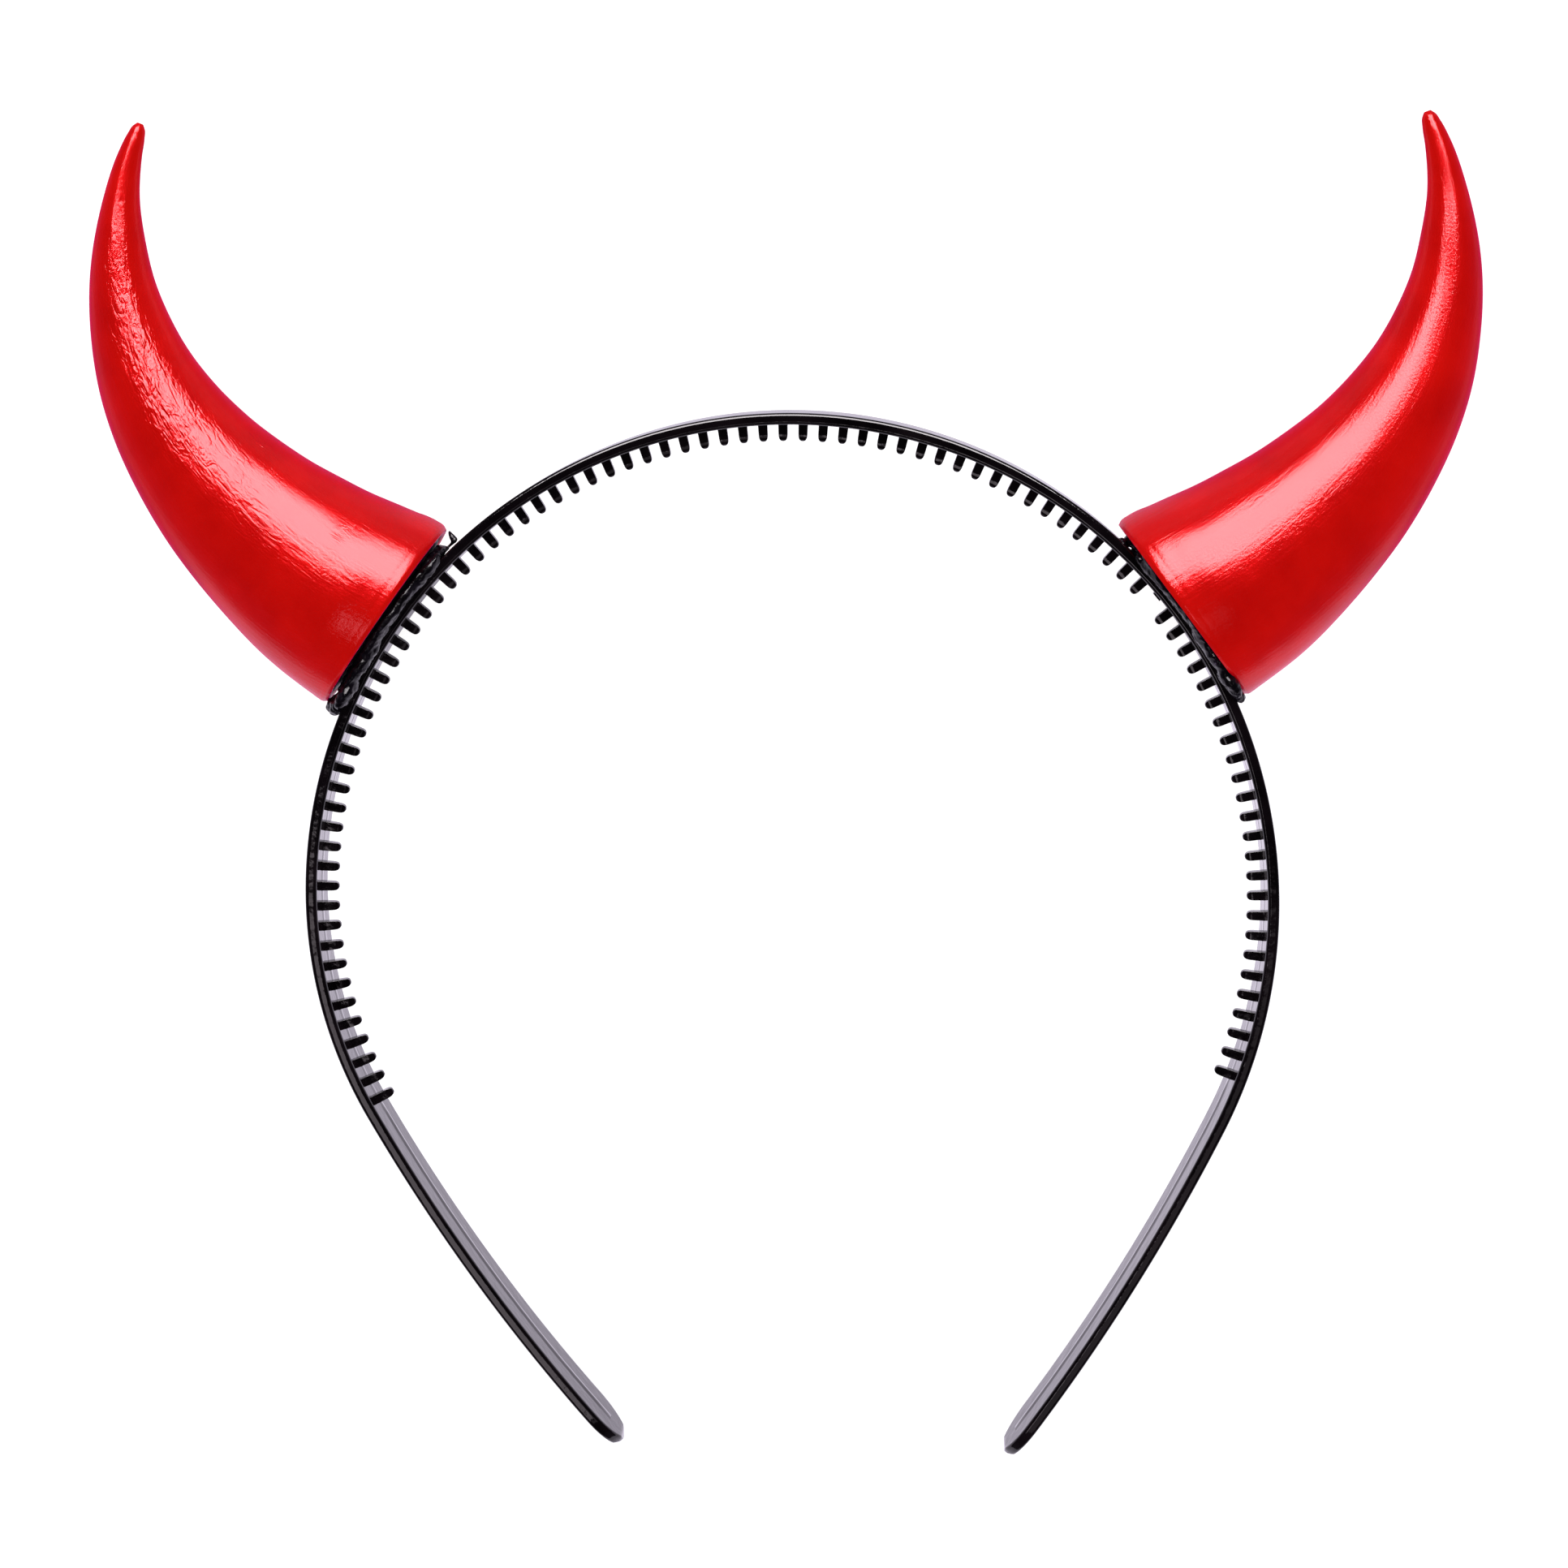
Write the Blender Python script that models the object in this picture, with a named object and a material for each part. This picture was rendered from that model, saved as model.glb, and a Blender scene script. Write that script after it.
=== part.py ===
"""Devil horns headband: a toothed plastic hoop that carries two hollow horns.

The hoop lies in the XY plane of its own frame, with its crown at +Y, its front edge at +Z and
the centre of its round part at the origin. Each horn is a thin shell with an open mouth, a plug
closes the mouth, and hot glue between plug and hoop holds the horn. The whole thing lies on its
back: the horns bulge further back than the hoop, so it leans until their backs and the ends of
the arms both touch the floor. Sizes are in millimetres and become metres in one place, at().
"""

import math
from collections import namedtuple

import bmesh
import bpy
import numpy as np
from mathutils import Matrix, Vector

MM = 0.001
GAP = 0.3  # clearance between pieces that rest on each other

# Hoop strip
HOOP_WIDTH = 10.0  # front edge to back edge
HOOP_THICKNESS = 1.55
HOOP_CHAMFER = 0.28
TONGUE_LENGTH = 6.0  # stretch over which each arm's end rounds off
TONGUE_SECTIONS = (0.02, 0.08, 0.2, 0.4, 0.68, 1.0)  # parts of that stretch, from the end
ARM_STEP = 4.2  # distance between the sections of the bare arms
SHARP_ANGLE = 35.0  # faces that meet at more degrees than this are shaded with an edge

# The outer line of the hoop from the crown down each arm: radius and length of each arc
ARM_ARCS = {
    "left": ((65.0, 100.0), (61.8, 31.8), (265.0, 57.75)),
    "right": ((65.0, 82.0), (69.3, 54.2), (289.0, 54.8)),
}

# Comb teeth, placed by their distance from the crown along the outer line
TOOTH_COUNT = 94
TOOTH_BROKEN = 68  # this one has snapped off
TOOTH_CENTRE = 46.77  # counted from the left, the place that falls on the crown
TOOTH_PITCH = 2.751
TOOTH_SPREAD = 0.00002  # the pitch opens a little down both arms
# Each tooth is a peg on the middle line of the inner face
# height above the inner face, thickness along the hoop, depth from front to back
TOOTH_ROWS = (
    (-0.30, 1.34, 1.40),
    (1.45, 1.20, 1.26),
    (2.05, 0.98, 1.02),
    (2.36, 0.42, 0.42),
)

# Low rib down the middle of each bare arm's inner face
RIB_BASE = 1.5
RIB_TOP = 0.8
RIB_HEIGHT = 0.22
RIB_ROOT = 0.3
RIB_FADE = 0.05  # height that it runs out to at both ends
RIB_END = 3.4  # it stops this far from the arm's end

# Horn axis and girth. along: out from the mouth, across: toward the crown side
# along, across, half width, half depth
HORN_ROWS = (
    (0.0, 0.02, 14.05, 11.45),
    (0.5, 0.00, 14.35, 11.65),
    (1.5, -0.05, 14.40, 11.70),
    (3.4, -0.29, 14.13, 11.55),
    (9.0, -0.70, 13.40, 11.00),
    (15.0, -0.58, 12.43, 10.25),
    (21.0, -0.09, 11.35, 9.50),
    (26.9, 0.89, 10.32, 8.80),
    (32.7, 2.40, 9.18, 8.00),
    (38.3, 4.51, 8.09, 7.20),
    (43.65, 7.32, 6.94, 6.30),
    (48.5, 10.84, 5.76, 5.35),
    (52.9, 14.97, 4.62, 4.40),
    (56.6, 19.67, 3.59, 3.48),
    (59.75, 24.79, 2.48, 2.44),
    (62.1, 30.32, 1.60, 1.58),
    (62.8, 32.70, 1.18, 1.16),
    (63.1, 33.75, 0.85, 0.84),
    (63.25, 34.30, 0.40, 0.40),
)
HORN_SIDES = 24
HORN_WALL = 1.2
HORN_LIP = 0.35  # the mouth's inner edge is eased by this much
CAVITY_ROWS = 13  # rows of the table that the hollow reaches up to
HORN_LENGTH = 80.0

# angle: of the mouth from the crown. distance: mouth to the hoop's centre. shift: of the mouth
# toward the crown. lean: of the horn, in degrees. girth: how it changes toward the tip
Seat = namedtuple("Seat", "angle distance shift lean girth")
HORN_SEATS = {
    "left": Seat(53.4, 65.94, -0.26, 0.65, -0.045),
    "right": Seat(54.4, 64.85, -0.38, -0.8, 0.03),
}
STRAIGHT_MOUTH = 6.0  # the sections turn from the mouth's plane to square over this length
LEAN_REACH = 9.0  # the lean builds up over this length

# Plug in the horn's mouth
PLUG_HALF_WIDTH = 12.55
PLUG_HALF_DEPTH = 9.85
PLUG_THICKNESS = 2.2
PLUG_BOTTOM = 65.95  # its underside, from the hoop's centre
PLUG_EDGE = 0.3
PLUG_DRAFT = 0.1  # it narrows by this much toward its inner end

# Hot glue between plug and hoop
GLUE_TOP = PLUG_BOTTOM - GAP
# how far under GLUE_TOP, half width, half depth
GLUE_ROWS = (
    (0.0, 12.0, 9.1),
    (0.35, 12.35, 9.45),
    (0.9, 12.3, 9.3),
    (1.25, 11.7, 8.6),
)
GLUE_SIDES = 32
CHANNEL_REACH = 20.0  # half length of the channel that the hoop runs in
CHANNEL_STEPS = 16
# Drop of glue under the left horn's lower end
DROP_ACROSS = -13.6
DROP_DISTANCE = 65.0  # from the hoop's centre
DROP_FORWARD = 0.4
DROP_RADII = (0.9, 1.7, 2.4)  # outward, across, forward
DROP_SEGMENTS = 12
DROP_RINGS = 7
# A pulled string of glue that stands on the hoop beside the left horn
STRING_FROM = 11.0
STRING_FOOT = 13.0
STRING_HALF_DEPTH = 0.8
STRING_HEIGHT = 0.35
STRING_LIFT = 0.02  # above the clearance to the hoop
STRING_STEPS = 3
SPIKE_HEIGHT = 1.8
SPIKE_FOOT = 1.0
SPIKE_ROOT = 0.15
SPIKE_LEAN = 0.8  # how far its tip leans away from the horn
SPIKE_TIP = 0.1  # its width at the tip, as a part of that at its foot
SPIKE_TIP_DEPTH = 0.2  # the same, front to back
SPIKE_PARTS = (0.0, 0.5, 1.0)  # where its sections are, from foot to tip

# The resting pose is found between no lean and this one, in so many halvings
LEAN_MOST = 10.0
LEAN_HALVINGS = 40

# name: colour, roughness, coat
FINISHES = {
    "black_plastic": ((0.012, 0.010, 0.013), 0.22, 0.0),
    "red_plastic": ((0.55, 0.006, 0.010), 0.28, 0.5),
    "dark_plug": ((0.010, 0.009, 0.010), 0.4, 0.0),
    "hot_glue": ((0.060, 0.045, 0.055), 0.15, 0.0),
}


def at(x, y, z):
    return Vector((x * MM, y * MM, z * MM))


def hoop_at(s):
    """Point on the outer line and its outward direction. s runs from the crown, left is minus."""
    arcs = ARM_ARCS["left" if s < 0 else "right"]
    side = -1.0 if s < 0 else 1.0
    rest = abs(s)
    x, y, turn = 0.0, arcs[0][0], 0.0
    for index, (radius, length) in enumerate(arcs):
        run = min(rest, length) if index < len(arcs) - 1 else rest
        turned = turn + run / radius
        x += radius * (math.sin(turned) - math.sin(turn))
        y += radius * (math.cos(turned) - math.cos(turn))
        turn = turned
        rest -= run
        if rest <= 0:
            break
    return (side * x, y), (side * math.sin(turn), math.cos(turn))


def on_hoop(s, out, forward):
    """Point that lies out from the outer line at s, and forward of the hoop's middle."""
    (x, y), (nx, ny) = hoop_at(s)
    return at(x + nx * out, y + ny * out, forward)


def arm_length(side):
    return sum(length for radius, length in ARM_ARCS[side])


def tooth_place(index):
    count = index - TOOTH_CENTRE
    return TOOTH_PITCH * count + TOOTH_SPREAD * count ** 3


def clear_scene():
    for old in list(bpy.data.objects):
        bpy.data.objects.remove(old, do_unlink=True)


def new_collection(name):
    collection = bpy.data.collections.new(name)
    bpy.context.scene.collection.children.link(collection)
    return collection


def plastic(name):
    colour, roughness, coat = FINISHES[name]
    material = bpy.data.materials.new(name)
    material.use_nodes = True
    shader = material.node_tree.nodes["Principled BSDF"]
    shader.inputs["Base Color"].default_value = (*colour, 1.0)
    shader.inputs["Roughness"].default_value = roughness
    shader.inputs["Metallic"].default_value = 0.0
    shader.inputs["Coat Weight"].default_value = coat
    return material


def make_object(name, bm, collection, parent, material=None):
    bmesh.ops.recalc_face_normals(bm, faces=bm.faces)
    mesh = bpy.data.meshes.new(name)
    bm.to_mesh(mesh)
    bm.free()
    thing = bpy.data.objects.new(name, mesh)
    collection.objects.link(thing)
    thing.parent = parent
    if material:
        mesh.materials.append(material)
        mesh.shade_smooth()
        mesh.set_sharp_from_angle(angle=math.radians(SHARP_ANGLE))
    else:
        thing.hide_render = True
        thing.display_type = "WIRE"
    return thing


def add_loft(bm, rings):
    """One closed body through rings that have equal counts of points."""
    rows = [[bm.verts.new(point) for point in ring] for ring in rings]
    count = len(rows[0])
    for near, far in zip(rows, rows[1:]):
        for i in range(count):
            j = (i + 1) % count
            bm.faces.new((near[i], near[j], far[j], far[i]))
    bm.faces.new(rows[0])
    bm.faces.new(rows[-1])


def combine(target, cutter, operation):
    change = target.modifiers.new(cutter.name, "BOOLEAN")
    change.operation = operation
    change.object = cutter
    change.solver = "EXACT"


def strip_ring(s, half_width, outer, inner, chamfer):
    """Section of the hoop at s: a flat bar with eased edges."""
    corners = (
        (outer, half_width - chamfer),
        (outer - chamfer, half_width),
        (inner + chamfer, half_width),
        (inner, half_width - chamfer),
    )
    front = [on_hoop(s, out, forward) for out, forward in corners]
    back = [on_hoop(s, out, -forward) for out, forward in reversed(corners)]
    return front + back


def hoop_stations():
    """Distance from the crown of each section, with its half width."""
    comb = [tooth_place(index - 0.5) for index in range(TOOTH_COUNT + 1)]
    tongue = [TONGUE_LENGTH * part for part in TONGUE_SECTIONS]
    places = []
    for side, sign, start in (("left", -1.0, comb[0]), ("right", 1.0, comb[-1])):
        end = arm_length(side)
        bare = end - TONGUE_LENGTH - abs(start)
        steps = round(bare / ARM_STEP)
        arm = [sign * (abs(start) + bare * i / steps) for i in range(1, steps)]
        ends = [sign * (end - part) for part in tongue]
        places += arm + ends
    places = sorted(places + comb)
    stations = []
    for s in places:
        left = arm_length("left" if s < 0 else "right") - abs(s)
        part = max(0.0, 1.0 - left / TONGUE_LENGTH)
        stations.append((s, HOOP_WIDTH / 2 * math.sqrt(1.0 - part * part)))
    return stations


def tooth_rings(s):
    (x, y), (nx, ny) = hoop_at(s)
    rings = []
    for height, thickness, depth in TOOTH_ROWS:
        out = -HOOP_THICKNESS - height
        ring = []
        for side, end in ((-1, -1), (1, -1), (1, 1), (-1, 1)):
            along, forward = side * thickness / 2, end * depth / 2
            ring.append(at(x + nx * out + ny * along, y + ny * out - nx * along, forward))
        rings.append(ring)
    return rings


def rib_rings(side):
    """The low rib down one arm, from the last tooth to the arm's end."""
    sign = -1.0 if side == "left" else 1.0
    last_tooth = abs(tooth_place(0 if side == "left" else TOOTH_COUNT - 1))
    start = last_tooth + TOOTH_PITCH
    end = arm_length(side) - RIB_END
    steps = round((end - start) / ARM_STEP)
    inner = -HOOP_THICKNESS
    rings = []
    for i in range(steps + 1):
        s = sign * (start + (end - start) * i / steps)
        height = RIB_HEIGHT if 0 < i < steps else RIB_FADE
        rings.append([
            on_hoop(s, inner + RIB_ROOT, RIB_BASE / 2),
            on_hoop(s, inner, RIB_BASE / 2),
            on_hoop(s, inner - height, RIB_TOP / 2),
            on_hoop(s, inner - height, -RIB_TOP / 2),
            on_hoop(s, inner, -RIB_BASE / 2),
            on_hoop(s, inner + RIB_ROOT, -RIB_BASE / 2),
        ])
    return rings


def make_headband(parts, cutters, rest, material):
    bm = bmesh.new()
    rings = []
    for s, half_width in hoop_stations():
        chamfer = min(HOOP_CHAMFER, half_width / 3)
        rings.append(strip_ring(s, half_width, 0.0, -HOOP_THICKNESS, chamfer))
    add_loft(bm, rings)
    headband = make_object("headband", bm, parts, rest, material)
    bm = bmesh.new()
    for index in range(TOOTH_COUNT):
        if index != TOOTH_BROKEN:
            add_loft(bm, tooth_rings(tooth_place(index)))
    teeth = make_object("teeth", bm, cutters, rest)
    combine(headband, teeth, "UNION")
    bm = bmesh.new()
    for side in ARM_ARCS:
        add_loft(bm, rib_rings(side))
    ribs = make_object("ribs", bm, cutters, rest)
    combine(headband, ribs, "UNION")
    return headband


def seat_matrix(side, distance):
    """Frame of a horn's seat: X out of the hoop, Y toward the crown on the right, Z forward."""
    seat = HORN_SEATS[side]
    sign = -1.0 if side == "left" else 1.0
    turn = Matrix.Rotation(math.radians(90 - sign * seat.angle), 4, "Z")
    return turn @ Matrix.Translation(at(distance, sign * seat.shift, 0.0))


def oval(along, across, half_width, half_depth, slant, sides, mirror):
    """Oval ring whose plane is tipped by slant from square to the seat's X axis."""
    ring = []
    for i in range(sides):
        turn = 2 * math.pi * i / sides
        wide = half_width * math.cos(turn)
        deep = half_depth * math.sin(turn)
        x = along - wide * math.sin(slant)
        y = across + wide * math.cos(slant)
        ring.append(at(x, mirror * y, deep))
    return ring


def horn_slants(rows):
    """Tip of each row's plane, square to the axis except at the flat mouth."""
    points = np.array([row[:2] for row in rows])
    run = np.gradient(points, axis=0)
    slants = np.arctan2(run[:, 1], run[:, 0])
    return slants * np.clip(points[:, 0] / STRAIGHT_MOUTH, 0.0, 1.0)


def make_horn(side, parts, rest, material):
    seat = HORN_SEATS[side]
    mirror = -1.0 if side == "left" else 1.0
    slants = horn_slants(HORN_ROWS)
    points = np.array([row[:2] for row in HORN_ROWS])
    steps = np.hypot(*np.diff(points, axis=0).T)
    reach = np.concatenate([[0.0], np.cumsum(steps)]) / HORN_LENGTH
    bend = math.radians(seat.lean)
    outer = []
    inner = []
    for row, slant, part in zip(HORN_ROWS, slants, reach):
        along, across, half_width, half_depth = row
        bent = bend * min(1.0, along / LEAN_REACH)
        along, across = (
            along * math.cos(bent) - across * math.sin(bent),
            along * math.sin(bent) + across * math.cos(bent),
        )
        scale = 1.0 + seat.girth * part
        for rings, wall in ((outer, 0.0), (inner, HORN_WALL)):
            size = (half_width * scale - wall, half_depth * scale - wall)
            if min(size) > 0:
                rings.append(oval(along, across, *size, slant + bent, HORN_SIDES, mirror))
    lip = oval(0.0, 0.0, HORN_ROWS[0][2] - HORN_WALL + HORN_LIP,
               HORN_ROWS[0][3] - HORN_WALL + HORN_LIP, 0.0, HORN_SIDES, mirror)
    bm = bmesh.new()
    add_loft(bm, outer[::-1] + [lip] + inner[1:CAVITY_ROWS])
    horn = make_object("horn_" + side, bm, parts, rest, material)
    horn.matrix_local = seat_matrix(side, seat.distance)
    return horn


def make_plug(side, parts, rest, material):
    rows = (
        (0.0, PLUG_EDGE),
        (PLUG_EDGE, 0.0),
        (PLUG_THICKNESS - PLUG_EDGE, PLUG_DRAFT),
        (PLUG_THICKNESS, PLUG_EDGE + PLUG_DRAFT),
    )
    bm = bmesh.new()
    add_loft(bm, [
        oval(height, 0.0, PLUG_HALF_WIDTH - inset, PLUG_HALF_DEPTH - inset, 0.0, GLUE_SIDES, 1.0)
        for height, inset in rows
    ])
    plug = make_object("base_plug_" + side, bm, parts, rest, material)
    plug.matrix_local = seat_matrix(side, PLUG_BOTTOM)
    return plug


def sag(across, radius):
    """How far a circle has dropped at a distance across from its top."""
    return radius - math.sqrt(radius * radius - across * across)


def glue_body(bm):
    """Puddle with a flat top and an underside that follows the hoop."""
    radius = ARM_ARCS["left"][0][0]
    rings = []
    for drop, half_width, half_depth in GLUE_ROWS:
        ring = []
        for i in range(GLUE_SIDES):
            turn = 2 * math.pi * (i + 0.5) / GLUE_SIDES
            across = half_width * math.cos(turn)
            follow = sag(across, radius) * min(1.0, drop / GLUE_ROWS[1][0])
            ring.append(at(-drop - follow, across, half_depth * math.sin(turn)))
        rings.append(ring)
    rows = [[bm.verts.new(point) for point in ring] for ring in rings]
    for near, far in zip(rows, rows[1:]):
        for i in range(GLUE_SIDES):
            j = (i + 1) % GLUE_SIDES
            bm.faces.new((near[i], near[j], far[j], far[i]))
    bm.faces.new(rows[0])
    under = rows[-1]
    half = GLUE_SIDES // 2
    for i in range(half - 1):
        bm.faces.new((under[i], under[i + 1], under[-i - 2], under[-i - 1]))


def add_drop(bm, mirror):
    size = Matrix.Diagonal((*(radius * MM for radius in DROP_RADII), 1.0))
    place = Matrix.Translation(at(DROP_DISTANCE - GLUE_TOP, mirror * DROP_ACROSS, DROP_FORWARD))
    bmesh.ops.create_uvsphere(bm, u_segments=DROP_SEGMENTS, v_segments=DROP_RINGS,
                              radius=1.0, matrix=place @ size)


def add_string(bm, mirror):
    """Thin string of glue along the hoop that ends in a small spike."""
    radius = ARM_ARCS["left"][0][0] + GAP
    rings = []
    for i in range(STRING_STEPS + 1):
        across = STRING_FROM + (STRING_FOOT + SPIKE_FOOT - STRING_FROM) * i / STRING_STEPS
        low = radius - sag(across, radius) - GLUE_TOP
        ring = []
        corners = (
            (STRING_LIFT, -1),
            (STRING_HEIGHT, -1),
            (STRING_HEIGHT, 1),
            (STRING_LIFT, 1),
        )
        for height, deep in corners:
            ring.append(at(low + height, mirror * across, deep * STRING_HALF_DEPTH))
        rings.append(ring)
    add_loft(bm, rings)


def add_spike(bm, mirror):
    radius = ARM_ARCS["left"][0][0] + GAP
    rings = []
    middle = STRING_FOOT + SPIKE_FOOT / 2
    low = radius - sag(middle, radius) - GLUE_TOP
    for part in SPIKE_PARTS:
        half = SPIKE_FOOT / 2 * (1.0 + (SPIKE_TIP - 1.0) * part)
        deep = STRING_HALF_DEPTH * (1.0 + (SPIKE_TIP_DEPTH - 1.0) * part)
        height = low + SPIKE_ROOT + (SPIKE_HEIGHT - SPIKE_ROOT) * part
        across = middle + SPIKE_LEAN * part
        ring = []
        for along, forward in ((-half, -deep), (half, -deep), (half, deep), (-half, deep)):
            ring.append(at(height, mirror * (across + along), forward))
        rings.append(ring)
    add_loft(bm, rings)


def make_glue(side, parts, cutters, rest, material):
    mirror = -1.0 if side == "left" else 1.0
    seat = seat_matrix(side, GLUE_TOP)
    bm = bmesh.new()
    glue_body(bm)
    glue = make_object("glue_" + side, bm, parts, rest, material)
    glue.matrix_local = seat
    if side == "left":
        for name, add in (("drop", add_drop), ("string", add_string), ("spike", add_spike)):
            bm = bmesh.new()
            add(bm, mirror)
            piece = make_object(name, bm, cutters, rest)
            piece.matrix_local = seat
            combine(glue, piece, "UNION")
    bm = bmesh.new()
    middle = math.radians(HORN_SEATS[side].angle) * ARM_ARCS[side][0][0] * mirror
    rings = []
    for i in range(CHANNEL_STEPS + 1):
        s = middle + CHANNEL_REACH * (2 * i / CHANNEL_STEPS - 1)
        rings.append(strip_ring(s, HOOP_WIDTH / 2 + GAP, GAP, -HOOP_THICKNESS - GAP, HOOP_CHAMFER))
    add_loft(bm, rings)
    channel = make_object("channel_" + side, bm, cutters, rest)
    combine(glue, channel, "DIFFERENCE")
    return glue


def lowest(things, turn):
    return min((turn @ thing.matrix_local @ v.co).z for thing in things for v in thing.data.vertices)


def lay_down(rest, headband, horns, everything):
    """Lean the hoop until horns and arms touch the floor, and centre it over the origin."""
    bpy.context.view_layer.update()
    low, high = 0.0, math.radians(LEAN_MOST)
    for _ in range(LEAN_HALVINGS):
        lean = (low + high) / 2
        turn = Matrix.Rotation(lean, 4, "X")
        if lowest(horns, turn) < lowest([headband], turn):
            low = lean
        else:
            high = lean
    turn = Matrix.Rotation(lean, 4, "X")
    points = np.array([
        turn @ thing.matrix_local @ v.co for thing in everything for v in thing.data.vertices
    ])
    middle = (points.min(axis=0) + points.max(axis=0)) / 2
    place = Vector((-middle[0], -middle[1], -points[:, 2].min()))
    rest.matrix_world = Matrix.Translation(place) @ turn


def main():
    clear_scene()
    parts = new_collection("Devil horns headband")
    cutters = new_collection("Cutters")
    rest = bpy.data.objects.new("resting_pose", None)
    parts.objects.link(rest)
    finish = {name: plastic(name) for name in FINISHES}
    headband = make_headband(parts, cutters, rest, finish["black_plastic"])
    horns = [make_horn(side, parts, rest, finish["red_plastic"]) for side in HORN_SEATS]
    small = []
    for side in HORN_SEATS:
        small.append(make_plug(side, parts, rest, finish["dark_plug"]))
        small.append(make_glue(side, parts, cutters, rest, finish["hot_glue"]))
    lay_down(rest, headband, horns, [headband] + horns + small)


main()
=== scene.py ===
"""Looks of the devil horns headband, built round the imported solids.

Sizes are in millimetres and become metres in one place, at(). Shapes are worked out in the hoop's
own frame, which has the crown at +Y, the front edge at +Z and the centre of the hoop's round part
at the origin, and hoop_pose() reads from the solids where that frame lies in the scene.
"""

import math

import bmesh
import bpy
import numpy as np
from mathutils import Euler, Matrix, Vector, noise


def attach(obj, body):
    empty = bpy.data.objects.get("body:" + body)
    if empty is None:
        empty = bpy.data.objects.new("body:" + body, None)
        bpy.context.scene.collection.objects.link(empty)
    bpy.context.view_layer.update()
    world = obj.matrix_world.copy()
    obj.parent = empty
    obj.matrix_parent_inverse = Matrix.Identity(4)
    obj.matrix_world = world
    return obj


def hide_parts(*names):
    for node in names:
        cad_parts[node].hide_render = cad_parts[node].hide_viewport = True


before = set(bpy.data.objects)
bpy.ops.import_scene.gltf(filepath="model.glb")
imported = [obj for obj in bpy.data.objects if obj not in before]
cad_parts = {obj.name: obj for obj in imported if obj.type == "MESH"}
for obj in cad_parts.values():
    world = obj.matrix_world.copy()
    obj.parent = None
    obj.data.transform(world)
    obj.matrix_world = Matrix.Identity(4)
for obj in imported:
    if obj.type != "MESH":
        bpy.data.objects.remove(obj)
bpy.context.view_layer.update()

MM = 0.001
PER_METRE = (1000.0, 1000.0, 1000.0)  # scale that turns a pattern's coordinates into millimetres
SHARP_ANGLE = 50.0  # faces that meet at more than this, in degrees, keep their edge

# Hoop strip, as in the solids
HOOP_RADIUS = 65.0
HOOP_WIDTH = 10.0
HOOP_THICKNESS = 1.55
HOOP_EDGE = 0.42  # radius of its rounded edges
EDGE_SHARE = 0.45  # that radius is at most this part of the section's width or thickness
EDGE_STEPS = 4
EDGE_GUARD = 0.3  # part of that radius at which a line of points keeps the flats flat in the shading
HOOP_STEP = 0.9
TONGUE_LENGTH = 6.0
END_ROUND = 1.2  # the strip thins to a round edge over this length at its ends
END_THIN = 0.25  # part of its thickness that is left at the very end
END_TURNS = range(3, 90, 6)  # degrees round each rounded end, one ring at each
FACING_FRONT = 0.99  # a face whose normal points up at least this much is on the front edge
ARM_ARCS = {
    "left": ((65.0, 100.0), (61.8, 31.8), (265.0, 57.75)),
    "right": ((65.0, 82.0), (69.3, 54.2), (289.0, 54.8)),
}

# Comb teeth
TOOTH_COUNT = 94
TOOTH_BROKEN = 68
TOOTH_CENTRE = 46.77
TOOTH_PITCH = 2.751
TOOTH_SPREAD = 0.00002
TOOTH_FLAT = 0.90  # part of its thickness that is flat between the round edges
TOOTH_CORNER_STEPS = 3
# height above the inner face, thickness along the hoop, depth from front to back
TOOTH_ROWS = (
    (-0.30, 1.36, 1.42),
    (0.05, 1.27, 1.36),
    (0.30, 1.23, 1.32),
    (1.35, 1.20, 1.28),
    (1.72, 1.15, 1.21),
    (1.96, 1.05, 1.10),
    (2.14, 0.88, 0.93),
    (2.26, 0.66, 0.70),
    (2.33, 0.41, 0.43),
    (2.36, 0.18, 0.19),
)
STUB_HEIGHT = 0.25  # what is left of the broken tooth

# Low rib along the inner face: strong on the bare arms, faint between the lower teeth
RIB_HALF_WIDTH = 1.0
RIB_STEPS = 12
RIB_HEIGHT = 0.13
RIB_FAINT = 0.05
RIB_FAINT_FROM = 62.0
RIB_STEP = 1.5
RIB_END = 3.4
RIB_ROOT = 0.2  # how deep it is rooted in the strip
RIB_FADE = 2.0  # it rises over this length at each end
RIB_START = 0.1  # part of its height that it has there

# Horn axis and girth, as in the solids: along, across, half width, half depth
HORN_ROWS = (
    (0.0, 0.02, 14.05, 11.45),
    (0.5, 0.00, 14.35, 11.65),
    (1.5, -0.05, 14.40, 11.70),
    (3.4, -0.29, 14.13, 11.55),
    (9.0, -0.70, 13.40, 11.00),
    (15.0, -0.58, 12.43, 10.25),
    (21.0, -0.09, 11.35, 9.50),
    (26.9, 0.89, 10.32, 8.80),
    (32.7, 2.40, 9.18, 8.00),
    (38.3, 4.51, 8.09, 7.20),
    (43.65, 7.32, 6.94, 6.30),
    (48.5, 10.84, 5.76, 5.35),
    (52.9, 14.97, 4.62, 4.40),
    (56.6, 19.67, 3.59, 3.48),
    (59.75, 24.79, 2.48, 2.44),
    (62.1, 30.32, 1.60, 1.58),
    (62.8, 32.70, 1.18, 1.16),
    (63.1, 33.75, 0.85, 0.84),
    (63.25, 34.30, 0.40, 0.40),
)
HORN_LENGTH = 80.0
HORN_RINGS = 300
HORN_SIDES = 180
LIP_REACH, LIP_RINGS = 3.0, 24  # the lip's first stretch and its rings
TIP_REACH, TIP_RINGS = 3.0, 30
TIP_END = 0.02  # the last ring stands this far from the tip
CAVITY_DEPTH = 1.0  # the plug closes the mouth there
STRAIGHT_MOUTH = 6.0
LEAN_REACH = 9.0
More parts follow.
